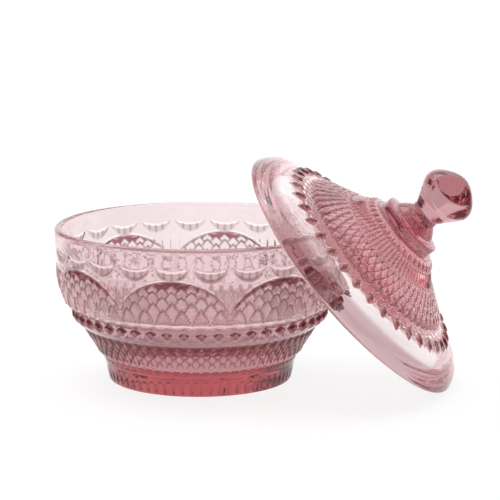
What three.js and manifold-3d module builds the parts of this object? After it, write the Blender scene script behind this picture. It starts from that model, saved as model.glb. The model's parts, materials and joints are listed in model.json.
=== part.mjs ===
// A pressed-glass candy dish in two pieces: a footed bowl, and a domed lid with a faceted knob.
// Millimetres, +Z up. The origin is the middle of the bowl's flat foot, on the table.
// The lid is off the bowl: its rim stands on the table at +X and it leans on the bowl's rim.

import * as THREE from "three";
import { mergeVertices } from "three/addons/utils/BufferGeometryUtils.js";
import Module from "manifold-3d";

const wasm = await Module();
wasm.setup();

// Driving sizes: the bowl.
const bowlHeight = 80.4;
const rimRadius = 75;
const rimWall = 3.5;
const wallDraft = 0.2;
const footRadius = 47.6;
const footHeight = 10;
const footEdge = 1.2;
const footFlare = 1.8;
const waistBulge = 4.6;
const waistSag = 2;
const waistTop = 28.2;
const waistTopRadius = 60;
const floorThickness = 11.5;
const bandBottom = 32;
const bandBottomRadius = 64.2;
const bandTop = 38;
const bandTopRadius = 65.7;
const ledgeHeight = 41.5;
const ledgeRadius = 69.2;
const shoulderHeight = 60;
const shoulderBulge = 0.2;

// Driving sizes: the lid.
const lidOverhang = 1.1;
const lipRound = 1.8;
const brimWidth = 7.3;
const brimHeight = 10.1;
const brimBulge = 4.7;
const brimBulgeHeight = 7.9;
const brimWall = 6;
const roofDepth = 12.2;
const roofInset = 31;
const roofSag = 1;
const flareBulge = 6.1;
const flareSag = 14.5;
const collarSeatHeight = 36;
const collarSeatLedge = 3.4;
const collarSeatEdge = 1.2;
const collarRadius = 17.4;
const collarHeight = 6.2;
const collarEdge = 0.6;
const tierRadius = 12.6;
const tierHeight = 6.2;
const tierSag = 1.4;
const neckRadius = 7.8;
const neckHeight = 2.4;

// Driving sizes: the knob, a turned bead with two broad flats.
const knobRadius = 14.9;
const knobChinRadius = 13.4;
const knobChinHeight = 9.2;
const knobShoulderRadius = 11.6;
const knobShoulderHeight = 20.4;
const knobHeight = 26;
const knobCrown = 5;
const knobMiddleHeight = 12.4;
const knobFlats = 2;
const knobFlatDepth = 8.8;
const knobFlatTurn = THREE.MathUtils.degToRad(-77);
const knobFlatTilt = THREE.MathUtils.degToRad(26);

// How the two pieces fit.
const locatingClearance = 1.6;
const locatingDepth = 1.8;
const locatingWall = 3.4;
const leanGap = 0.3;
const leanContactRadius = 20.6;

// Roundness of the turned shapes.
const turns = 60;
const curveSteps = 6;

const glass = { roughness: 0.06, metalness: 0 };
const bowlColour = 0xd9a3a8;
const lidColour = 0xd196a0;

// A turned solid about Z from a closed outline in the radius-height plane.
function turned(outline) {
  const geometry = new THREE.LatheGeometry(outline, turns);
  return geometry.rotateX(Math.PI / 2);
}

// The same triangles with their shared corners joined, as the boolean library needs them.
function solidOf(geometry) {
  const bare = geometry.clone();
  bare.deleteAttribute("normal");
  bare.deleteAttribute("uv");
  const joined = mergeVertices(bare, 1e-3);
  return new wasm.Manifold(
    new wasm.Mesh({
      numProp: 3,
      vertProperties: joined.attributes.position.array,
      triVerts: new Uint32Array(joined.index.array),
    }),
  );
}

function geometryOf(solid) {
  const mesh = solid.getMesh();
  const geometry = new THREE.BufferGeometry();
  geometry.setAttribute("position", new THREE.BufferAttribute(mesh.vertProperties, 3));
  geometry.setIndex(new THREE.BufferAttribute(mesh.triVerts, 1));
  geometry.computeVertexNormals();
  return geometry;
}

// The bowl's outline: up the outside from the middle of the foot, over the rim, down the inside.
function bowlOutline() {
  const lip = rimWall / 2;
  const path = new THREE.Path();
  path.moveTo(0, 0);
  path.lineTo(footRadius - footEdge, 0);
  path.absarc(footRadius - footEdge, footEdge, footEdge, -Math.PI / 2, 0);
  path.lineTo(footRadius + footFlare, footHeight);
  path.quadraticCurveTo(
    footRadius + waistBulge,
    (footHeight + waistTop) / 2 - waistSag,
    waistTopRadius,
    waistTop,
  );
  path.lineTo(bandBottomRadius, bandBottom);
  path.lineTo(bandTopRadius, bandTop);
  path.lineTo(ledgeRadius, ledgeHeight);
  path.quadraticCurveTo(
    rimRadius - wallDraft - shoulderBulge,
    (ledgeHeight + shoulderHeight) / 2,
    rimRadius - wallDraft,
    shoulderHeight,
  );
  path.lineTo(rimRadius, bowlHeight - lip);
  path.absarc(rimRadius - lip, bowlHeight - lip, lip, 0, Math.PI);
  path.lineTo(rimRadius - rimWall - wallDraft, shoulderHeight);
  path.bezierCurveTo(
    ledgeRadius,
    ledgeHeight,
    footRadius,
    floorThickness,
    footRadius / 2,
    floorThickness,
  );
  path.lineTo(0, floorThickness);
  return path.getPoints(curveSteps);
}

// The lid's outline about its own axis, with height 0 where it seats on the bowl's rim.
const lidRadius = rimRadius + lidOverhang;
const locatingRadius = rimRadius - rimWall - locatingClearance;
const collarBottom = collarSeatHeight + collarSeatLedge - collarSeatEdge - collarEdge * 2;
const collarTop = collarBottom + collarHeight;
const neckBottom = collarTop + tierHeight;
const neckTop = neckBottom + neckHeight;

function lidOutline() {
  const innerEdge = locatingRadius - locatingWall;
  const brimTop = lidRadius - brimWidth;
  const seatRadius = collarRadius + collarSeatLedge;
  const path = new THREE.Path();
  path.moveTo(0, roofDepth);
  path.lineTo(lidRadius - roofInset, roofDepth);
  path.quadraticCurveTo(
    lidRadius - roofInset / 2,
    roofDepth - roofSag,
    innerEdge,
    brimHeight - brimWall,
  );
  path.lineTo(innerEdge, -locatingDepth);
  path.lineTo(locatingRadius, -locatingDepth);
  path.lineTo(locatingRadius, 0);
  path.lineTo(lidRadius - lipRound, 0);
  path.absarc(lidRadius - lipRound, lipRound, lipRound, -Math.PI / 2, 0);
  path.quadraticCurveTo(brimTop + brimBulge, brimBulgeHeight, brimTop, brimHeight);
  path.bezierCurveTo(
    (brimTop + brimTop / 2) / 2,
    brimHeight + flareBulge,
    brimTop / 2,
    collarSeatHeight - flareSag,
    seatRadius,
    collarSeatHeight,
  );
  path.lineTo(seatRadius - collarSeatEdge, collarBottom);
  path.lineTo(collarRadius, collarBottom);
  path.lineTo(collarRadius, collarTop - collarEdge);
  path.lineTo(tierRadius, collarTop + collarEdge);
  path.quadraticCurveTo(tierRadius - tierSag, neckBottom - tierHeight / 2, neckRadius, neckBottom);
  path.lineTo(neckRadius, neckTop);
  path.lineTo(knobChinRadius, neckTop + knobChinHeight);
  path.quadraticCurveTo(
    2 * knobRadius - (knobChinRadius + knobShoulderRadius) / 2,
    neckTop + (knobChinHeight + knobShoulderHeight) / 2,
    knobShoulderRadius,
    neckTop + knobShoulderHeight,
  );
  path.quadraticCurveTo(knobCrown, neckTop + knobHeight, 0, neckTop + knobHeight);
  return path.getPoints(curveSteps);
}

// A block whose inner face is one of the knob's flats, at that turn about the lid's axis.
function flatCutter(turn) {
  const side = 3 * knobRadius;
  const block = new THREE.BoxGeometry(side, side, side);
  block.translate(knobFlatDepth + side / 2, 0, 0);
  block.rotateY(-knobFlatTilt);
  block.rotateZ(turn);
  return block.translate(0, 0, neckTop + knobMiddleHeight);
}

function lidSolid() {
  let solid = solidOf(turned(lidOutline()));
  for (let flat = 0; flat < knobFlats; flat += 1) {
    const turn = knobFlatTurn + (2 * Math.PI * flat) / knobFlats;
    solid = solid.subtract(solidOf(flatCutter(turn)));
  }
  return solid;
}

// The lean: the angle at which the lid's rim stands on the table while its roof, kept
// leanGap clear, rests on the bowl's rim at leanContactRadius up the slope from its middle.
const lip = rimWall / 2;
const reach = lidRadius - lipRound + leanContactRadius;
const drop = roofDepth - leanGap - lip - lipRound;
const leanAngle =
  Math.asin((bowlHeight - lip - lipRound) / Math.hypot(reach, drop)) - Math.atan2(drop, reach);
const contactDepth = roofDepth - leanGap - lip;
const lidMiddleX =
  rimRadius - lip - contactDepth * Math.sin(leanAngle) + leanContactRadius * Math.cos(leanAngle);
const lidMiddleZ =
  (lidRadius - lipRound) * Math.sin(leanAngle) + lipRound * (1 - Math.cos(leanAngle));

const bowl = new THREE.Mesh(
  turned(bowlOutline()),
  new THREE.MeshStandardMaterial({ color: bowlColour, ...glass }),
);
bowl.name = "bowl";

const lid = new THREE.Mesh(
  geometryOf(lidSolid()),
  new THREE.MeshStandardMaterial({ color: lidColour, ...glass }),
);
lid.name = "lid";
lid.position.set(lidMiddleX, 0, lidMiddleZ);
lid.rotation.y = leanAngle;

const candyDish = new THREE.Group();
candyDish.add(bowl, lid);

export default candyDish;
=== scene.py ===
"""A pressed-glass candy dish: a footed bowl and a domed lid with a knob, in rose glass.

Each piece is one closed skin of glass. A sector of it is made from its outline with the pressed
pattern raised on it, and a Geometry Nodes tree turns that sector round the axis."""

import json
import math

import bpy
import numpy as np
from bpy.props import FloatProperty, FloatVectorProperty, IntProperty, PointerProperty
from mathutils import Matrix, Vector


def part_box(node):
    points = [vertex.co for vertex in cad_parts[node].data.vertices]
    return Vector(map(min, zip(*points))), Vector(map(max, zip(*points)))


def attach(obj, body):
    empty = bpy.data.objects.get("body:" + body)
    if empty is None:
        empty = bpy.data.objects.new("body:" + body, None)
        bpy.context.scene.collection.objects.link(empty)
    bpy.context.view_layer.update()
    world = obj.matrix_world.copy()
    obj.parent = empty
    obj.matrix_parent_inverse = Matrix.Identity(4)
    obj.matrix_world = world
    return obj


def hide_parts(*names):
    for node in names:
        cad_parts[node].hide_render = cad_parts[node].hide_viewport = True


bl_info = {
    "name": "Pressed Glass Candy Dish",
    "version": (1, 0, 0),
    "blender": (4, 5, 0),
    "location": "View3D > Sidebar > Candy Dish",
    "description": "Builds a covered candy dish in pressed rose glass and its stage",
    "category": "Object",
}

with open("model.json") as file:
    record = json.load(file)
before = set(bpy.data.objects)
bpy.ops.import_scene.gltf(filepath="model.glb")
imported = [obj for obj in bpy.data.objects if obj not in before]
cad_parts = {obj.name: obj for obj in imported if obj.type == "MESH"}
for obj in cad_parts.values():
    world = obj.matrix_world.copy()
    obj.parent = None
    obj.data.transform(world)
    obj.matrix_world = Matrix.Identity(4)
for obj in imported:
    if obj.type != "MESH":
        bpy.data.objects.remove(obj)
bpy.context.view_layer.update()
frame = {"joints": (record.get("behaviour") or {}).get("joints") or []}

MM = 0.001
BOWL_LOW, BOWL_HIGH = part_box("bowl")
LID_LOW, LID_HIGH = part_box("lid")
LID_JOINT = next(j for j in frame["joints"] if j["name"] == "lid_lift")


# How often each part of the pattern repeats round its piece.
BOWL_SCALES = 48
CRESCENTS = 24
LOZENGES = 48
WAIST_SCALES = 64
LID_DROPS = 36
LID_SCALES = 54
LID_FLUTES = 72
PEBBLES = 36

# Radii and heights that more than one shape uses, in millimetres.
RIM_WALL = 3.5
FLOOR_HEIGHT = 11.5
LEDGE = (69.0, 41.5)
SHOULDER = (73.9, 60)
BAND_MIDDLE = 35
LID_LIP = 1.8
NECK_RADIUS = 7.8
NECK_TOP = 51.8
KNOB_MIDDLE = 64.2

WELD_DISTANCE = 1.5e-6


# Outlines and their relief, in millimetres.


def line(a, b, steps=1):
    """A straight stretch from a to b."""
    t = np.linspace(0, 1, steps + 1)[:, None]
    return np.array(a) * (1 - t) + np.array(b) * t


def bend(a, c, b, steps=24):
    """A curve from a to b that is pulled towards c."""
    t = np.linspace(0, 1, steps + 1)[:, None]
    return np.array(a) * (1 - t) ** 2 + np.array(c) * 2 * t * (1 - t) + np.array(b) * t**2


def sweep(a, c, d, b, steps=40):
    """A curve from a to b that leaves towards c and arrives from d."""
    t = np.linspace(0, 1, steps + 1)[:, None]
    first = np.array(a) * (1 - t) ** 3 + np.array(c) * 3 * t * (1 - t) ** 2
    return first + np.array(d) * 3 * t**2 * (1 - t) + np.array(b) * t**3


def arc(middle, radius, start, end, steps=10):
    """A round stretch about its middle, with its angles in degrees."""
    turn = np.radians(np.linspace(start, end, steps + 1))
    return np.stack([middle[0] + radius * np.cos(turn), middle[1] + radius * np.sin(turn)], 1)


def spaced(stretches):
    """The stretches of an outline in turn, each cut to its own spacing: rows of radius and height,
    with the side of the sector each row is cut into."""
    points, counts = [], []
    for points_in, spacing, count in stretches:
        pieces = np.linalg.norm(np.diff(points_in, axis=0), axis=1)
        lengths = np.concatenate([[0], np.cumsum(pieces)])
        steps = max(1, round(lengths[-1] / spacing))
        at = np.linspace(0, lengths[-1], steps + 1)[(1 if points else 0) :]
        for s in at:
            points.append([np.interp(s, lengths, points_in[:, axis]) for axis in (0, 1)])
            counts.append(count)
    return np.array(points), counts


def normals(points):
    """Which way is out at each row of an outline that runs up the outside."""
    along = np.gradient(points, axis=0)
    out = np.stack([along[:, 1], -along[:, 0]], 1)
    return out / np.maximum(np.linalg.norm(out, axis=1), 1e-9)[:, None]


def ease(value, width):
    """A soft step from 0 to 1 as the value goes from 0 to the width."""
    t = np.clip(value / width, 0, 1)
    return t * t * (3 - 2 * t)


def repeat(angle, pitch, start=0.0):
    """Where an angle lies in its repeat, from -1 to 1, with 0 in the middle."""
    return 2 * (np.mod((angle - start) / pitch + 0.5, 1) - 0.5)


def scales(angle, height, rows, groove):
    """Overlapping pointed scales, tips up, the lowest row in front: how far each point is
    inside the scale that shows there, from 0 in the grooves to 1 on the scales, the share of
    the way down from that scale's tip, and how deep it is in the shade of a groove."""
    inside = np.full(np.broadcast(angle, height).shape, -9.0)
    below = np.full(inside.shape, 9.0)
    drop = np.zeros(inside.shape)
    for pitch, start, foot, tall in rows:
        side = np.abs(repeat(angle, pitch, start))
        tip = foot + tall * (1 - side**1.15) ** 0.62
        gap = tip - height
        fresh = (inside <= 0) & (gap > 0)
        drop = np.where(fresh, np.clip(gap / tall, 0, 1), drop)
        inside = np.where(fresh, np.minimum(gap, below), inside)
        below = np.where(gap <= 0, np.minimum(below, -gap), below)
    # The last value is where shade is painted beside each groove.
    return ease(inside, groove), drop, 1 - ease(inside - 0.3, groove * 1.3)


def bowl_relief(angle, height, cfg):
    """How far the pattern stands out of the bowl, how strong its fine ribs are, and where shade is
    painted into its grooves and hollows.
    angle is in degrees from the middle of an arch."""
    depth = cfg.pattern_depth / MM
    relief = np.zeros(np.broadcast(angle, height).shape)
    ribs = np.zeros(relief.shape)

    # The arches filled with scales, above the ledge.
    side = np.abs(angle) / (180 / cfg.sides)
    arch_foot, arch_tall = 44.6, 19.2
    arch = arch_foot + arch_tall * np.maximum(1 - side**2.1, 0) ** 0.62
    pitch = 360 / BOWL_SCALES
    rows = [
        (pitch, pitch / 2 * (row % 2 + 1), 39.4 + 4.75 * row - 0.28 * row**2, 10.6 - 0.8 * row)
        for row in range(6)
    ]
    scale, drop, shade = scales(angle, height, rows, cfg.groove_width / MM)
    within = ease(arch - height, 0.9)
    here = ((height > 41.9) & (height < 65)).astype(float)
    outline = here * np.exp(-(((arch - height) / 0.6) ** 2))
    relief += here * depth * within * 0.8 * scale * (0.5 + 0.5 * drop)
    relief -= depth * 0.6 * outline
    # Painted shade: the base colour is darkened along the scales' grooves and the arches' outline.
    groove = np.maximum(here * within * shade, outline)
    ribs = np.maximum(ribs, here * within * scale)

    # Fluted fields between the arches.
    between = here * ease(height - arch, 1.2) * ease(63 - height, 3)
    relief += between * depth * 0.4 * np.cos(np.radians(angle * 2 * BOWL_SCALES))
    ribs = np.maximum(ribs, between * 0.6)

    # Hanging crescents with upright ribs, under the plain rim.
    swag = repeat(angle, 360 / CRESCENTS)
    reach = np.clip(1 - (np.abs(swag) / 0.9) ** 2, 0, 1)
    upper = 70.8 - 1.9 * reach
    lower = 70.4 - 6.6 * reach**0.8
    crescent = ease(np.minimum(upper - height, height - lower), 1.0) * (reach > 0)
    relief -= depth * 0.4 * crescent
    ribs = np.maximum(ribs, crescent)
    # Painted shade fills the crescents, darker on their upright ribs.
    filling = np.clip(np.cos(np.radians(angle * 5 * CRESCENTS)), 0, 1)
    groove = np.maximum(groove, crescent * (0.45 + 0.4 * filling))

    # The ledge line.
    relief += depth * 0.55 * np.exp(-(((height - LEDGE[1]) / 0.42) ** 2))

    # Lozenges on the band, each with a dimple.
    pitch = 360 / LOZENGES
    across = repeat(angle, pitch, pitch / 2)
    half_width = 4.27
    lozenge = 1 - np.abs(across) / 0.93 - np.abs(height - BAND_MIDDLE) / 3.7
    dimple = np.hypot(across * half_width, height - BAND_MIDDLE)
    relief += depth * 1.5 * np.clip(lozenge, 0, 0.72) / 0.72
    relief -= depth * 0.9 * np.exp(-((dimple / 0.75) ** 2))
    # Painted shade along each lozenge's upper edges and over its inside.
    edge = np.exp(-((lozenge / 0.2) ** 2)) * (BAND_MIDDLE < height) * (height < 39)
    groove = np.maximum(groove, np.maximum(edge * 0.7, 0.8 * ease(lozenge - 0.2, 0.25)))

    # Scales round the waist.
    pitch = 360 / WAIST_SCALES
    rows = [
        (pitch, pitch / 2 * (row % 2), 13.2 + 2.7 * row, 6.0 - 0.25 * row) for row in range(5)
    ]
    scale, drop, shade = scales(angle, height, rows, cfg.groove_width / MM * 0.85)
    here = ease(height - 15.4, 0.8) * ease(28.9 - height, 0.8)
    relief += here * depth * 0.8 * scale * (0.5 + 0.5 * drop)
    ribs = np.maximum(ribs, here * scale * 0.6)
    # Painted shade in the grooves between the waist's scales.
    groove = np.maximum(groove, here * shade)

    # A scalloped line and short flutes round the foot.
    scallop = 12.6 + 0.9 * np.abs(np.sin(np.radians(angle * WAIST_SCALES / 2)))
    relief -= depth * 0.5 * np.exp(-(((height - scallop) / 0.4) ** 2))
    flute = ease(height - 1.4, 1.2) * ease(8.2 - height, 3)
    tick = flute * np.clip(np.cos(np.radians(angle * WAIST_SCALES)), 0, 1) ** 2
    relief -= depth * 0.55 * tick
    # Painted shade in the short flutes round the foot.
    groove = np.maximum(groove, 0.35 * tick)
    return relief, ribs, groove


def lid_relief(angle, radius, cfg):
    """How far the pattern stands out of the lid, how strong its fine ribs are, and where shade is
    painted into its grooves and hollows.
    angle is in degrees from the middle of a sector."""
    depth = cfg.pattern_depth / MM
    relief = np.zeros(np.broadcast(angle, radius).shape)

    # Pointed drops inside the plain brim.
    across = np.abs(repeat(angle, 360 / LID_DROPS)) / 0.46
    along = np.abs(radius - 56.8) / 4.0
    drop = np.clip(1 - np.hypot(across, along) * 0.55 - (across + along) * 0.45, 0, 0.5) / 0.5
    relief += depth * 1.1 * drop
    # Painted shade darkens each drop.
    groove = 0.9 * ease(drop, 0.6)

    # A scalloped edge and the rows of scales inside it, tips towards the brim.
    pitch = 360 / LID_SCALES
    rows = [
        (pitch, pitch / 2 * (row % 2), 28.4 + 4.1 * row, 6.4 - 0.4 * row) for row in range(5)
    ]
    scale, share, shade = scales(angle, radius, rows, cfg.groove_width / MM)
    edge = 48.4 - 1.6 * np.abs(repeat(angle, pitch)) ** 1.5
    here = ease(edge - radius, 0.8) * ease(radius - 31, 2)
    relief += here * depth * (0.2 + 0.9 * scale * (0.45 + 0.55 * share))
    outline = np.exp(-(((radius - edge - 0.5) / 0.75) ** 2))
    relief -= depth * 0.75 * outline
    ribs = here * scale * 0.35
    # Painted shade along the scalloped edge and in the grooves between the scales.
    groove = np.maximum(groove, np.maximum(outline, here * shade))

    # Long flutes that run up to the collar.
    flutes = ease(33.5 - radius, 4) * ease(radius - 24.2, 1)
    flute_wave = np.cos(np.radians(angle * LID_FLUTES))
    relief += flutes * depth * 0.5 * flute_wave
    ribs = np.maximum(ribs, flutes * 0.5)
    # Painted shade in the troughs between the flutes.
    groove = np.maximum(groove, flutes * 0.8 * np.clip(-flute_wave, 0, 1))

    # Pebbles round the collar's foot.
    pebble = ease(24.4 - radius, 1.4) * ease(radius - 20.9, 0.8)
    bead = np.abs(np.cos(np.radians(angle * PEBBLES / 2)))
    relief += pebble * depth * 0.75 * bead
    # Painted shade in the gaps between the pebbles.
    groove = np.maximum(groove, pebble * (1 - ease(bead, 0.6)))
    return relief, ribs, groove


def bowl_rows(cfg, fine):
    """The bowl's outline, up the outside from the middle of the foot and down the inside."""
    rim, top = BOWL_HIGH.x / MM, BOWL_HIGH.z / MM
    lip = RIM_WALL / 2
    dense = cfg.row_spacing / MM
    coarse = fine // 4
    edge, foot = 1.2, 47.6
    waist_foot, waist_pull, waist_top = (49.4, 10), (52.2, 17.1), (60, 28.2)
    band_foot, band_corner, band_low = (63, 30.9), (64.2, 32), (64.6, 33.6)
    band_high, band_turn, band_top = (65.4, 36.8), (65.8, 38.4), (67, 39.5)
    pattern_top = (74.8, 71.5)
    inner_wall, inner_shoulder, well = (71.3, 72), (71.3, 60), (23.8, FLOOR_HEIGHT)
    return spaced(
        [
            (line((0.0, 0), (44.0, 0)), 7.0, coarse),
            (line((44.0, 0), (foot - edge, 0)), 1.2, fine),
            (arc((foot - edge, edge), edge, -90, 0), 0.5, fine),
            (line((foot, edge), waist_foot), dense, fine),
            (bend(waist_foot, waist_pull, waist_top), dense, fine),
            (line(waist_top, band_foot), dense, fine),
            (bend(band_foot, band_corner, band_low), dense, fine),
            (line(band_low, band_high), dense, fine),
            (bend(band_high, band_turn, band_top), dense, fine),
            (line(band_top, LEDGE), dense, fine),
            (bend(LEDGE, (73.7, 50.75), SHOULDER), dense, fine),
            (line(SHOULDER, pattern_top), dense, fine),
            (line(pattern_top, (rim, top - lip)), 1.8, fine),
            (arc((rim - lip, top - lip), lip, 0, 180), 0.55, fine),
            (line((rim - RIM_WALL, top - lip), inner_wall), 2.0, fine // 2),
            (line(inner_wall, inner_shoulder), 2.4, coarse),
            (sweep(inner_shoulder, (69.2, LEDGE[1]), (foot, FLOOR_HEIGHT), well), 2.2, coarse),
            (line(well, (0, FLOOR_HEIGHT)), 4.0, coarse),
        ]
    )


def lid_rows(cfg, fine):
    """The lid's outline below the knob, out along the underside and up the outside."""
    dense = cfg.row_spacing / MM
    coarse = fine // 4
    rim = (LID_HIGH.y - LID_LOW.y) / 2 / MM
    brim = (68.8, 10.1)
    roof, roof_edge = 12.2, (45.1, 12.2)
    ring_inner, ring_outer, ring_drop, ring_edge = 66.5, 69.9, 1.8, 0.3
    low = ring_edge - ring_drop
    seat, seat_turn, collar, collar_top = (20.8, 36), (19.6, 37), 17.4, 42.4
    tier, neck = (12.8, 43.7), (7.9, 49.3)
    return spaced(
        [
            (line((0, roof), roof_edge), 4.5, coarse),
            (bend(roof_edge, (60.6, 11.2), (ring_inner, 4.1)), 1.8, coarse),
            (line((ring_inner, 4.1), (ring_inner, low)), 1.4, coarse),
            (arc((ring_inner + ring_edge, low), ring_edge, 180, 270, 4), 0.2, coarse),
            (
                line((ring_inner + ring_edge, -ring_drop), (ring_outer - ring_edge, -ring_drop)),
                1.4,
                coarse,
            ),
            (arc((ring_outer - ring_edge, low), ring_edge, -90, 0, 4), 0.2, coarse),
            (line((ring_outer, low), (ring_outer, 0)), 0.8, coarse),
            (line((ring_outer, 0), (rim - LID_LIP, 0)), 1.5, coarse),
            (arc((rim - LID_LIP, LID_LIP), LID_LIP, -90, 0), 0.6, fine // 2),
            (bend((rim, LID_LIP), (73.5, 7.9), brim), 0.9, fine // 2),
            (sweep(brim, (51.6, 16.2), (34.4, 21.5), seat), dense, fine),
            (line(seat, seat_turn), 0.5, fine),
            (line(seat_turn, (collar, 37.1)), 0.6, fine),
            (line((collar, 37.1), (collar, collar_top)), 0.9, fine // 2),
            (line((collar, collar_top), tier), 0.8, fine // 2),
            (bend(tier, (11.2, 46.3), neck), 0.8, fine // 2),
            (line(neck, (NECK_RADIUS, NECK_TOP)), 0.7, coarse),
        ]
    )


def knob_rows():
    """The knob's turned outline, from the neck to the crown."""
    chin, girth, shoulder, crown = (13.4, 61), (17.3, 66.6), (11.6, 72.2), (5, 77.8)
    return spaced(
        [
            (line((NECK_RADIUS, NECK_TOP), chin), 0.6, 1),
            (bend(chin, girth, shoulder), 0.5, 1),
            (bend(shoulder, crown, (0, crown[1])), 0.6, 1),
        ]
    )


def bowl_tint(radius, height):
    """How strong the thick glass's tint is on the bowl: full at the waist, less in the foot."""
    return 0.55 * ease(48 - height, 20) * (1 - 0.4 * ease(14 - height, 5))


def lid_tint(radius, height):
    """How strong the thick glass's tint is on the lid: at the collar, the dome and the brim."""
    dome = 0.3 * ease(height - 17, 19)
    collar = 0.7 * (height > 36.5)
    brim = 0.75 * ease(radius - 66, 5) * (height > 0.4)
    return dome + collar + brim


# Meshes from outlines.


def skin(name, points, counts, span, relief, solid):
    """A sector's mesh from its rows. A row may be cut into half as many as the row before it,
    or twice as many, and a row on the axis is one point."""
    verts, marks, uvs, rows, faces = [], [], [], [], []
    fine = max(counts)
    for (radius, height), (out_r, out_z), count in zip(points, normals(points), counts):
        if radius < 1e-6:
            rows.append([len(verts)])
            verts.append((0.0, 0.0, height))
            marks.append(np.zeros((1, 3)))
            uvs.append((0.0, height))
            continue
        angles = np.linspace(-span / 2, span / 2, count + 1)
        raised, ribs, groove = np.zeros((3, count + 1))
        if count == fine:
            raised, ribs, groove = relief(angles, radius, height)
        turn = np.radians(angles)
        r = radius + out_r * raised
        z = height + out_z * raised
        rows.append(list(range(len(verts), len(verts) + count + 1)))
        verts.extend(zip(r * np.cos(turn), r * np.sin(turn), z))
        thick = np.full(count + 1, float(solid(radius, height)))
        # groove holds where shade is painted into the pattern; thick holds the deeper tint of
        # thick glass.
        marks.append(np.stack([ribs, groove, thick], 1))
        uvs.extend(zip(angles, np.full(count + 1, height)))
    for low, high in zip(rows, rows[1:]):
        faces.extend(strip(low, high))
    mesh = bpy.data.meshes.new(name)
    mesh.from_pydata([(x * MM, y * MM, z * MM) for x, y, z in verts], [], faces)
    for values, mark in zip(np.concatenate(marks).T, ("ribs", "groove", "solid")):
        attribute = mesh.attributes.new(mark, "FLOAT", "POINT")
        attribute.data.foreach_set("value", np.ascontiguousarray(values, np.float32))
    layer = mesh.uv_layers.new(name="Turned")
    corner = np.array([loop.vertex_index for loop in mesh.loops])
    layer.data.foreach_set("uv", np.array(uvs, np.float32)[corner].ravel())
    mesh.shade_smooth()
    return mesh


def strip(low, high):
    """The faces between two rows of a sector, facing out."""
    if len(low) == 1:
        return [(low[0], high[i + 1], high[i]) for i in range(len(high) - 1)]
    if len(high) == 1:
        return [(low[i], low[i + 1], high[0]) for i in range(len(low) - 1)]
    if len(low) == len(high):
        return [(low[i], low[i + 1], high[i + 1], high[i]) for i in range(len(low) - 1)]
    if len(low) > len(high):
        faces = []
        ratio = (len(low) - 1) // (len(high) - 1)
        for i in range(len(high) - 1):
            base = i * ratio
            half = ratio // 2
            faces.extend((low[base + k], low[base + k + 1], high[i]) for k in range(half))
            faces.append((low[base + half], high[i + 1], high[i]))
            faces.extend(
                (low[base + k], low[base + k + 1], high[i + 1]) for k in range(half, ratio)
            )
        return faces
    return [tuple(reversed(face)) for face in strip(high, low)]


def knob_mesh(name, columns, flats, start):
    """The knob: a turned bead, with its two flats pressed into it. It is open at the neck."""
    points, _ = knob_rows()
    verts, faces, rows = [], [], []
    turn = np.linspace(0, 2 * math.pi, columns, endpoint=False) + start
    middle = np.array([0, 0, KNOB_MIDDLE])
    rounding, neck_fade, tint = 0.35, 4.0, 0.65
    for radius, height in points:
        if radius < 1e-6:
            place = np.array([[0.0, 0.0, height]])
        else:
            level = np.full(columns, height)
            place = np.stack([radius * np.cos(turn), radius * np.sin(turn), level], 1)
        for azimuth, tilt, depth in flats:
            flat = math.cos(tilt)
            face = np.array(
                [flat * math.cos(azimuth), flat * math.sin(azimuth), math.sin(tilt)]
            )
            over = (place - middle) @ face - depth
            soft = 0.5 * (over + np.sqrt(over**2 + rounding**2))
            fade = ease(np.array(height - NECK_TOP), neck_fade)
            place = place - face * (soft * fade)[:, None]
        rows.append(list(range(len(verts), len(verts) + len(place))))
        verts.extend(place * MM)
    for low, high in zip(rows, rows[1:]):
        if len(high) == 1:
            faces.extend((low[i], low[(i + 1) % columns], high[0]) for i in range(columns))
        else:
            for i in range(columns):
                j = (i + 1) % columns
                faces.append((low[i], low[j], high[j], high[i]))
    mesh = bpy.data.meshes.new(name)
    mesh.from_pydata([tuple(v) for v in verts], [], faces)
    solid = mesh.attributes.new("solid", "FLOAT", "POINT")
    solid.data.foreach_set("value", np.full(len(verts), tint, np.float32))
    mesh.shade_smooth()
    return mesh


# The tree that turns a sector into a piece.


def socket(tree, name, kind, default=None):
    """A named input on the tree: its identifier."""
    made = tree.interface.new_socket(name=name, in_out="INPUT", socket_type=kind)
    if default is not None:
        made.default_value = default
    return made.identifier


def add(tree, kind, place, **values):
    """A new node in the tree, with its settings."""
    node = tree.nodes.new(kind)
    node.location = place
    for key, value in values.items():
        setattr(node, key, value)
    return node


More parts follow.
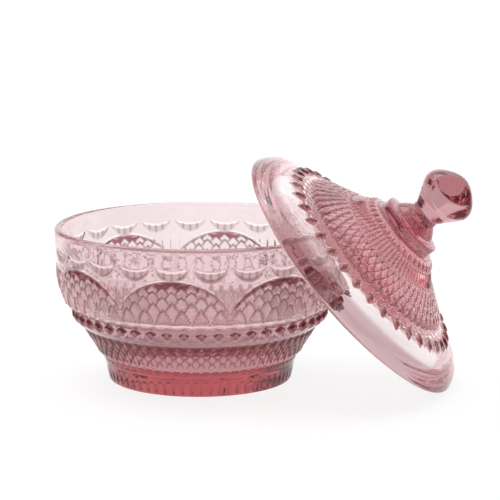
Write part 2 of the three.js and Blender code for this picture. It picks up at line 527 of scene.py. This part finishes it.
def turning_tree():
    """A tree that repeats a sector round Z, joins a cap to it and welds the seams."""
    tree = bpy.data.node_groups.new("Turned Glass", "GeometryNodeTree")
    tree.is_modifier = True
    tree.interface.new_socket(name="Geometry", in_out="INPUT", socket_type="NodeSocketGeometry")
    tree.interface.new_socket(name="Geometry", in_out="OUTPUT", socket_type="NodeSocketGeometry")
    ids = {
        "copies": socket(tree, "Copies", "NodeSocketInt", 8),
        "start": socket(tree, "Start Angle", "NodeSocketFloat", 0.0),
        "cap": socket(tree, "Cap", "NodeSocketObject"),
        "weld": socket(tree, "Weld Distance", "NodeSocketFloat", WELD_DISTANCE),
        "glass": socket(tree, "Glass", "NodeSocketMaterial"),
    }
    link = tree.links.new
    given = add(tree, "NodeGroupInput", (-1000, 0))
    points = add(tree, "GeometryNodePoints", (-700, 200))
    index = add(tree, "GeometryNodeInputIndex", (-1000, -300))
    step = add(tree, "ShaderNodeMath", (-800, -150), operation="DIVIDE")
    turn = add(tree, "ShaderNodeMath", (-620, -300), operation="MULTIPLY_ADD")
    euler = add(tree, "ShaderNodeCombineXYZ", (-440, -300))
    rotation = add(tree, "FunctionNodeEulerToRotation", (-260, -300))
    copies = add(tree, "GeometryNodeInstanceOnPoints", (-80, 100))
    cap = add(tree, "GeometryNodeObjectInfo", (-80, -200), transform_space="RELATIVE")
    join = add(tree, "GeometryNodeJoinGeometry", (120, 60))
    real = add(tree, "GeometryNodeRealizeInstances", (300, 60))
    weld = add(tree, "GeometryNodeMergeByDistance", (480, 60))
    paint = add(tree, "GeometryNodeSetMaterial", (660, 60))
    done = add(tree, "NodeGroupOutput", (840, 60))
    step.inputs[0].default_value = 2 * math.pi
    link(given.outputs["Copies"], points.inputs["Count"])
    link(given.outputs["Copies"], step.inputs[1])
    link(index.outputs[0], turn.inputs[0])
    link(step.outputs[0], turn.inputs[1])
    link(given.outputs["Start Angle"], turn.inputs[2])
    link(turn.outputs[0], euler.inputs["Z"])
    link(euler.outputs[0], rotation.inputs[0])
    link(points.outputs[0], copies.inputs["Points"])
    link(given.outputs["Geometry"], copies.inputs["Instance"])
    link(rotation.outputs[0], copies.inputs["Rotation"])
    link(given.outputs["Cap"], cap.inputs["Object"])
    link(copies.outputs[0], join.inputs[0])
    link(cap.outputs["Geometry"], join.inputs[0])
    link(join.outputs[0], real.inputs[0])
    link(real.outputs[0], weld.inputs["Geometry"])
    link(given.outputs["Weld Distance"], weld.inputs["Distance"])
    link(weld.outputs[0], paint.inputs["Geometry"])
    link(given.outputs["Glass"], paint.inputs["Material"])
    link(paint.outputs[0], done.inputs[0])
    return tree, ids


def turned_piece(name, sector, copies, start, glass, cap=None, place=None):
    """The sector turned into one closed piece by the tree, as plain geometry in the row frame."""
    tree, ids = turning_tree()
    source = bpy.data.objects.new(name + "_sector", sector)
    bpy.context.scene.collection.objects.link(source)
    cap_object = None
    if cap is not None:
        cap_object = bpy.data.objects.new(name + "_cap", cap)
        bpy.context.scene.collection.objects.link(cap_object)
    modifier = source.modifiers.new("Turned Glass", "NODES")
    modifier.node_group = tree
    modifier[ids["copies"]] = copies
    modifier[ids["start"]] = start
    modifier[ids["cap"]] = cap_object
    modifier[ids["weld"]] = WELD_DISTANCE
    modifier[ids["glass"]] = glass
    depsgraph = bpy.context.evaluated_depsgraph_get()
    depsgraph.update()
    mesh = bpy.data.meshes.new_from_object(
        source.evaluated_get(depsgraph), preserve_all_data_layers=True, depsgraph=depsgraph
    )
    source.modifiers.clear()
    for used in filter(None, (source, cap_object)):
        data = used.data
        bpy.data.objects.remove(used)
        bpy.data.meshes.remove(data)
    bpy.data.node_groups.remove(tree)
    mesh.name = name
    if place is not None:
        mesh.transform(place)
    if not len(mesh.polygons):
        raise RuntimeError(name + " came out empty")
    piece = bpy.data.objects.new(name, mesh)
    bpy.context.scene.collection.objects.link(piece)
    return piece


# Glass, floor and light.


def shader_tree(owner):
    """The owner's own node tree, emptied."""
    owner.use_nodes = True
    owner.node_tree.nodes.clear()
    return owner.node_tree


def glass_material(name, cfg, rib_pitch, density):
    """Rose glass: coloured by its depth, with shade painted into the grooves of its pattern, fine
    ribs and the soft waviness of pressed glass.
    """
    material = bpy.data.materials.new(name)
    tree = shader_tree(material)
    link = tree.links.new
    place = add(tree, "ShaderNodeTexCoord", (-1200, 200))
    cloud = add(tree, "ShaderNodeTexNoise", (-1000, 400))
    cloud.inputs["Scale"].default_value = 35.0
    tint = add(tree, "ShaderNodeMix", (-300, 400), data_type="RGBA")
    tint.inputs["A"].default_value = (*cfg.pale_tint, 1)
    tint.inputs["B"].default_value = (*cfg.deep_tint, 1)
    grain = add(tree, "ShaderNodeTexNoise", (-1000, 100))
    grain.inputs["Scale"].default_value = 220.0
    rough = add(tree, "ShaderNodeMapRange", (-300, 150))
    rough.inputs["To Min"].default_value = cfg.roughness * 0.6
    rough.inputs["To Max"].default_value = cfg.roughness * 1.6
    turned = add(tree, "ShaderNodeUVMap", (-1200, -250), uv_map="Turned")
    split = add(tree, "ShaderNodeSeparateXYZ", (-1020, -250))
    angle = add(tree, "ShaderNodeMath", (-850, -250), operation="MULTIPLY")
    angle.inputs[1].default_value = 2 * math.pi / rib_pitch
    wave = add(tree, "ShaderNodeMath", (-700, -250), operation="SINE")
    where = add(tree, "ShaderNodeAttribute", (-850, -450), attribute_name="ribs")
    ribs = add(tree, "ShaderNodeMath", (-550, -300), operation="MULTIPLY")
    height = add(tree, "ShaderNodeMath", (-400, -200), operation="MULTIPLY_ADD")
    height.inputs[1].default_value = 0.35
    bump = add(tree, "ShaderNodeBump", (-220, -200))
    bump.inputs["Strength"].default_value = cfg.rib_strength
    bump.inputs["Distance"].default_value = 0.0002
    surface = add(tree, "ShaderNodeBsdfPrincipled", (50, 200))
    surface.inputs["IOR"].default_value = cfg.ior
    surface.inputs["Transmission Weight"].default_value = 1.0
    inside = add(tree, "ShaderNodeVolumeAbsorption", (50, -350))
    inside.inputs["Color"].default_value = (*cfg.colour, 1)
    inside.inputs["Density"].default_value = density
    out = add(tree, "ShaderNodeOutputMaterial", (350, 100))
    link(place.outputs["Object"], cloud.inputs["Vector"])
    link(cloud.outputs["Fac"], tint.inputs["Factor"])
    mixed = tint.outputs["Result"]
    # Base colour marks: solid deepens the tint where the glass is thick, and groove paints shade
    # into the grooves and hollows of the pattern.
    for mark, tone, y in (("solid", cfg.solid_tint, 700), ("groove", cfg.groove_shade_tint, 950)):
        mask = add(tree, "ShaderNodeAttribute", (-300, y), attribute_name=mark)
        blend = add(tree, "ShaderNodeMix", (-100, y - 150), data_type="RGBA")
        blend.inputs["B"].default_value = (*tone, 1)
        link(mask.outputs["Fac"], blend.inputs["Factor"])
        link(mixed, blend.inputs["A"])
        mixed = blend.outputs["Result"]
    link(mixed, surface.inputs["Base Color"])
    link(place.outputs["Object"], grain.inputs["Vector"])
    link(grain.outputs["Fac"], rough.inputs["Value"])
    link(rough.outputs["Result"], surface.inputs["Roughness"])
    link(turned.outputs["UV"], split.inputs["Vector"])
    link(split.outputs["X"], angle.inputs[0])
    link(angle.outputs[0], wave.inputs[0])
    link(wave.outputs[0], ribs.inputs[0])
    link(where.outputs["Fac"], ribs.inputs[1])
    link(ribs.outputs[0], height.inputs[0])
    link(grain.outputs["Fac"], height.inputs[2])
    link(height.outputs[0], bump.inputs["Height"])
    link(bump.outputs["Normal"], surface.inputs["Normal"])
    link(surface.outputs[0], out.inputs["Surface"])
    link(inside.outputs[0], out.inputs["Volume"])
    return material


def floor_material():
    """A pale floor that glows a little, so that the shadow on it stays soft."""
    material = bpy.data.materials.new("PaleFloor")
    tree = shader_tree(material)
    place = add(tree, "ShaderNodeTexCoord", (-700, 0))
    noise = add(tree, "ShaderNodeTexNoise", (-500, 0))
    noise.inputs["Scale"].default_value = 3.0
    tone = add(tree, "ShaderNodeMix", (-250, 0), data_type="RGBA")
    tone.inputs["A"].default_value = (0.20, 0.20, 0.203, 1)
    tone.inputs["B"].default_value = (0.22, 0.22, 0.223, 1)
    surface = add(tree, "ShaderNodeBsdfDiffuse", (0, 0))
    glow = add(tree, "ShaderNodeEmission", (0, -200))
    glow.inputs["Strength"].default_value = 0.84
    both = add(tree, "ShaderNodeAddShader", (200, 0))
    out = add(tree, "ShaderNodeOutputMaterial", (400, 0))
    tree.links.new(place.outputs["Object"], noise.inputs["Vector"])
    tree.links.new(noise.outputs["Fac"], tone.inputs["Factor"])
    tree.links.new(tone.outputs["Result"], surface.inputs["Color"])
    tree.links.new(surface.outputs[0], both.inputs[0])
    tree.links.new(glow.outputs[0], both.inputs[1])
    tree.links.new(both.outputs[0], out.inputs["Surface"])
    return material


def studio_world(cfg):
    """A bright room behind and above the dish, dimmer on the side that faces the camera."""
    world = bpy.data.worlds.new("Studio")
    bpy.context.scene.world = world
    tree = shader_tree(world)
    place = add(tree, "ShaderNodeTexCoord", (-900, 0))
    split = add(tree, "ShaderNodeSeparateXYZ", (-700, 0))
    ramp = add(tree, "ShaderNodeValToRGB", (-450, 0))
    ramp.color_ramp.elements[0].position = 0.28
    warm = cfg.front_level * 0.5
    ramp.color_ramp.elements[0].color = (cfg.front_level, warm, warm, 1)
    ramp.color_ramp.elements[1].position = 0.52
    ramp.color_ramp.elements[1].color = (1, 1, 1, 1)
    half = add(tree, "ShaderNodeMath", (-600, -200), operation="MULTIPLY_ADD")
    half.inputs[1].default_value = 0.5
    half.inputs[2].default_value = 0.5
    aside = add(tree, "ShaderNodeMath", (-600, -400), operation="ABSOLUTE")
    cards = add(tree, "ShaderNodeMapRange", (-450, -400), interpolation_type="SMOOTHSTEP")
    cards.inputs["From Min"].default_value = 0.58
    cards.inputs["From Max"].default_value = 0.8
    cards.inputs["To Min"].default_value = 1.0
    cards.inputs["To Max"].default_value = cfg.side_level
    shaded = add(tree, "ShaderNodeVectorMath", (-250, -100), operation="SCALE")
    light = add(tree, "ShaderNodeBackground", (-100, 0))
    light.inputs["Strength"].default_value = cfg.room_light
    out = add(tree, "ShaderNodeOutputWorld", (100, 0))
    tree.links.new(place.outputs["Generated"], split.inputs[0])
    tree.links.new(split.outputs["Y"], half.inputs[0])
    tree.links.new(half.outputs[0], ramp.inputs["Fac"])
    tree.links.new(split.outputs["X"], aside.inputs[0])
    tree.links.new(aside.outputs[0], cards.inputs["Value"])
    tree.links.new(ramp.outputs["Color"], shaded.inputs[0])
    tree.links.new(cards.outputs[0], shaded.inputs["Scale"])
    tree.links.new(shaded.outputs[0], light.inputs["Color"])
    tree.links.new(light.outputs[0], out.inputs["Surface"])


# The add-on.


class GlassSettings(bpy.types.PropertyGroup):
    """The glass of both pieces"""

    colour: FloatVectorProperty(
        name="Colour",
        description="What the glass lets through",
        size=3,
        subtype="COLOR",
        min=0,
        max=1,
        default=(0.74, 0.17, 0.22),
    )
    pale_tint: FloatVectorProperty(
        name="Pale Tint",
        description="Surface tint of the palest streaks",
        size=3,
        subtype="COLOR",
        min=0,
        max=1,
        default=(0.945, 0.885, 0.89),
    )
    deep_tint: FloatVectorProperty(
        name="Deep Tint",
        description="Surface tint of the deepest streaks",
        size=3,
        subtype="COLOR",
        min=0,
        max=1,
        default=(0.915, 0.84, 0.85),
    )
    solid_tint: FloatVectorProperty(
        name="Solid Tint",
        description="Surface tint where the glass is thick",
        size=3,
        subtype="COLOR",
        min=0,
        max=1,
        default=(0.34, 0.105, 0.13),
    )
    # Painted shade: the base colour that darkens the grooves and hollows of the pattern.
    groove_shade_tint: FloatVectorProperty(
        name="Groove Tint",
        description="Surface tint in the grooves of the pattern",
        size=3,
        subtype="COLOR",
        min=0,
        max=1,
        default=(0.13, 0.018, 0.026),
    )
    lid_density: FloatProperty(
        name="Lid Density",
        description="How fast depth deepens the lid's colour, per metre",
        default=15.0,
        min=0,
    )
    bowl_density: FloatProperty(
        name="Bowl Density",
        description="How fast depth deepens the bowl's colour, per metre",
        default=30.0,
        min=0,
    )
    ior: FloatProperty(
        name="IOR",
        description="How strongly the glass bends light",
        default=1.52,
        min=1,
    )
    roughness: FloatProperty(
        name="Roughness",
        description="Softness of the fire-polished surface",
        default=0.02,
        min=0,
        max=1,
    )
    rib_strength: FloatProperty(
        name="Rib Strength",
        description="Strength of the fine ribs on the pattern",
        default=0.35,
        min=0,
        max=1,
    )


class BowlSettings(bpy.types.PropertyGroup):
    """The bowl and its pattern"""

    sides: IntProperty(name="Sectors", description="Arches round the bowl", default=8, min=3)
    columns: IntProperty(name="Columns", description="Columns in a sector", default=80, min=8)
    first_arch: FloatProperty(
        name="First Arch",
        description="Direction of the first arch's middle",
        default=math.radians(2.5),
        subtype="ANGLE",
    )
    row_spacing: FloatProperty(
        name="Row Spacing",
        description="Distance between rows on the pattern",
        default=0.0007,
        subtype="DISTANCE",
        unit="LENGTH",
        precision=5,
    )
    pattern_depth: FloatProperty(
        name="Pattern Depth",
        description="How far the pressed pattern stands out",
        default=0.00135,
        subtype="DISTANCE",
        unit="LENGTH",
        precision=5,
    )
    groove_width: FloatProperty(
        name="Groove Width",
        description="Width of the slope beside a groove",
        default=0.0007,
        subtype="DISTANCE",
        unit="LENGTH",
        precision=5,
    )


class LidSettings(bpy.types.PropertyGroup):
    """The lid, its pattern and its knob"""

    sides: IntProperty(name="Sectors", description="Repeats round the lid", default=18, min=3)
    columns: IntProperty(name="Columns", description="Columns in a sector", default=40, min=8)
    first_drop: FloatProperty(
        name="First Drop",
        description="Direction of the first sector's middle",
        default=math.radians(2.6),
        subtype="ANGLE",
    )
    row_spacing: FloatProperty(
        name="Row Spacing",
        description="Distance between rows on the pattern",
        default=0.0007,
        subtype="DISTANCE",
        unit="LENGTH",
        precision=5,
    )
    pattern_depth: FloatProperty(
        name="Pattern Depth",
        description="How far the pressed pattern stands out",
        default=0.0015,
        subtype="DISTANCE",
        unit="LENGTH",
        precision=5,
    )
    groove_width: FloatProperty(
        name="Groove Width",
        description="Width of the slope beside a groove",
        default=0.0007,
        subtype="DISTANCE",
        unit="LENGTH",
        precision=5,
    )
    flat_depth: FloatProperty(
        name="Flat Depth",
        description="Distance of the flats from the knob's middle",
        default=0.0088,
        subtype="DISTANCE",
        unit="LENGTH",
        precision=5,
    )
    knob_flats: IntProperty(
        name="Knob Flats",
        description="Broad flats on the knob",
        default=2,
        min=0,
    )
    knob_turn: FloatProperty(
        name="Knob Turn",
        description="Direction of the first flat about the lid's axis",
        default=math.radians(-77),
        subtype="ANGLE",
    )
    knob_tilt: FloatProperty(
        name="Knob Tilt",
        description="How far the flats lean back",
        default=math.radians(26),
        subtype="ANGLE",
    )


class StageSettings(bpy.types.PropertyGroup):
    """The camera, the room and its light"""

    view_turn: FloatProperty(
        name="View Turn",
        description="Direction the camera stands in, from the front",
        default=math.radians(13.3),
        subtype="ANGLE",
    )
    distance: FloatProperty(
        name="Distance",
        description="Distance of the camera from the bowl's axis",
        default=1.15,
        subtype="DISTANCE",
        unit="LENGTH",
    )
    height: FloatProperty(
        name="Height",
        description="Height of the camera over the table",
        default=0.2759,
        subtype="DISTANCE",
        unit="LENGTH",
    )
    pitch: FloatProperty(
        name="Pitch",
        description="How far the camera looks down",
        default=0.1799,
        subtype="ANGLE",
    )
    yaw: FloatProperty(
        name="Yaw",
        description="How far the camera looks towards the lid",
        default=0.0226,
        subtype="ANGLE",
    )
    lens: FloatProperty(
        name="Lens",
        description="Focal length in millimetres",
        default=162.24,
        min=10,
    )
    bounces: IntProperty(
        name="Bounces",
        description="Times light may turn inside the glass",
        default=28,
        min=4,
    )
    room_light: FloatProperty(
        name="Room Light",
        description="Strength of the room's light",
        default=1.4,
        min=0,
    )
    window_light: FloatProperty(
        name="Window Light",
        description="Strength of the soft light from above",
        default=0.8,
        min=0,
    )
    side_level: FloatProperty(
        name="Side Level",
        description="Brightness of the cards at both sides",
        default=0.05,
        min=0,
        max=1,
    )
    front_level: FloatProperty(
        name="Front Level",
        description="Brightness of the room on the camera's side",
        default=0.24,
        min=0,
        max=1,
    )


class DishSettings(bpy.types.PropertyGroup):
    """All the settings of the dish"""

    glass: PointerProperty(
        type=GlassSettings,
        name="Glass",
        description="The glass of both pieces",
    )
    bowl: PointerProperty(type=BowlSettings, name="Bowl", description="The footed bowl")
    lid: PointerProperty(type=LidSettings, name="Lid", description="The domed lid")
    stage: PointerProperty(
        type=StageSettings,
        name="Stage",
        description="Floor, light and camera",
    )


class DISH_OT_bowl(bpy.types.Operator):
    """Build the bowl in place of the CAD bowl"""

    bl_idname = "dish.bowl"
    bl_label = "Build Bowl"

    def execute(self, context):
        dish = context.scene.candy_dish
        cfg = dish.bowl
        span = 360 / cfg.sides
        points, counts = bowl_rows(cfg, cfg.columns)
        sector = skin(
            "bowl_sector",
            points,
            counts,
            span,
            lambda angle, radius, height: bowl_relief(angle, height, cfg),
            bowl_tint,
        )
        glass = glass_material("BowlGlass", dish.glass, span / 60, dish.glass.bowl_density)
        piece = turned_piece("bowl_glass", sector, cfg.sides, cfg.first_arch, glass)
        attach(piece, "bowl")
        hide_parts("bowl")
        return {"FINISHED"}


def lid_place():
    """Where the lid stands: its rim on the table, leaning by the angle of its lifting axis."""
    axis = Vector(LID_JOINT["axis"])
    lean = math.atan2(axis.x, axis.z)
    radius = (LID_HIGH.y - LID_LOW.y) / 2
    lip = LID_LIP * MM
    x = LID_LOW.x + (radius - lip) * math.cos(lean) - lip * math.sin(lean) + lip
    z = (radius - lip) * math.sin(lean) + lip * (1 - math.cos(lean))
    return Matrix.Translation((x, 0, z)) @ Matrix.Rotation(lean, 4, "Y")


class DISH_OT_lid(bpy.types.Operator):
    """Build the lid in place of the CAD lid"""

    bl_idname = "dish.lid"
    bl_label = "Build Lid"

    def execute(self, context):
        dish = context.scene.candy_dish
        cfg = dish.lid
        span = 360 / cfg.sides
        points, counts = lid_rows(cfg, cfg.columns)
        sector = skin(
            "lid_sector",
            points,
            counts,
            span,
            lambda angle, radius, height: lid_relief(angle, radius, cfg),
            lid_tint,
        )
        columns = cfg.sides * cfg.columns // 4
        flats = [
            (cfg.knob_turn + 2 * math.pi * k / cfg.knob_flats, cfg.knob_tilt, cfg.flat_depth / MM)
            for k in range(cfg.knob_flats)
        ]
        knob = knob_mesh("knob_cap", columns, flats, cfg.first_drop)
        glass = glass_material("LidGlass", dish.glass, span / 24, dish.glass.lid_density)
        piece = turned_piece(
            "lid_glass", sector, cfg.sides, cfg.first_drop, glass, knob, lid_place()
        )
        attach(piece, "lid")
        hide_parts("lid")
        return {"FINISHED"}


class DISH_OT_stage(bpy.types.Operator):
    """Set the floor, the soft studio light and the camera"""

    bl_idname = "dish.stage"
    bl_label = "Build Stage"

    def execute(self, context):
        cfg = context.scene.candy_dish.stage
        floor_size, floor_gap, softness = 30, 0.0002, math.radians(50)
        bpy.ops.mesh.primitive_plane_add(size=floor_size)
        floor = context.object
        floor.name = "Floor"
        floor.location.z = BOWL_LOW.z - floor_gap
        floor.data.materials.append(floor_material())
        studio_world(cfg)
        data = bpy.data.lights.new("Window", "SUN")
        data.energy = cfg.window_light
        data.angle = softness
        lamp = bpy.data.objects.new("Window", data)
        lamp.rotation_euler = Vector((0.35, -0.2, -1)).to_track_quat("-Z", "Y").to_euler()
        context.scene.collection.objects.link(lamp)
        data = bpy.data.cameras.new("Camera")
        data.lens = cfg.lens
        data.sensor_width = 36
        camera = bpy.data.objects.new("Camera", data)
        turn = Matrix.Rotation(cfg.view_turn, 3, "Z")
        camera.location = turn @ Vector((0, -cfg.distance, cfg.height))
        level = math.cos(cfg.pitch)
        look = turn @ Vector(
            (math.sin(cfg.yaw) * level, math.cos(cfg.yaw) * level, -math.sin(cfg.pitch))
        )
        camera.rotation_euler = look.to_track_quat("-Z", "Y").to_euler()
        context.scene.collection.objects.link(camera)
        context.scene.camera = camera
        context.scene.view_settings.view_transform = "Standard"
        for bounces in ("max_bounces", "glossy_bounces", "transmission_bounces"):
            setattr(context.scene.cycles, bounces, cfg.bounces)
        return {"FINISHED"}


class DISH_PT_panel(bpy.types.Panel):
    """The dish's settings and the operators that build it"""

    bl_idname = "DISH_PT_panel"
    bl_label = "Candy Dish"
    bl_space_type = "VIEW_3D"
    bl_region_type = "UI"
    bl_category = "Candy Dish"

    def draw(self, context):
        dish = context.scene.candy_dish
        operators = {"bowl": "dish.bowl", "lid": "dish.lid", "stage": "dish.stage"}
        for group in ("glass", "bowl", "lid", "stage"):
            box = self.layout.box()
            cfg = getattr(dish, group)
            box.label(text=group.title())
            for key in cfg.__annotations__:
                box.prop(cfg, key)
            if group in operators:
                box.operator(operators[group])


CLASSES = (
    GlassSettings,
    BowlSettings,
    LidSettings,
    StageSettings,
    DishSettings,
    DISH_OT_bowl,
    DISH_OT_lid,
    DISH_OT_stage,
    DISH_PT_panel,
)


def register():
    """Make the settings, operators and panel known to Blender."""
    for cls in CLASSES:
        bpy.utils.register_class(cls)
    bpy.types.Scene.candy_dish = PointerProperty(type=DishSettings)


def unregister():
    """Take the settings, operators and panel away again."""
    del bpy.types.Scene.candy_dish
    for cls in reversed(CLASSES):
        bpy.utils.unregister_class(cls)


def main():
    """Build the dish and its stage."""
    register()
    bpy.ops.dish.bowl()
    bpy.ops.dish.lid()
    bpy.ops.dish.stage()


if __name__ == "__main__":
    main()
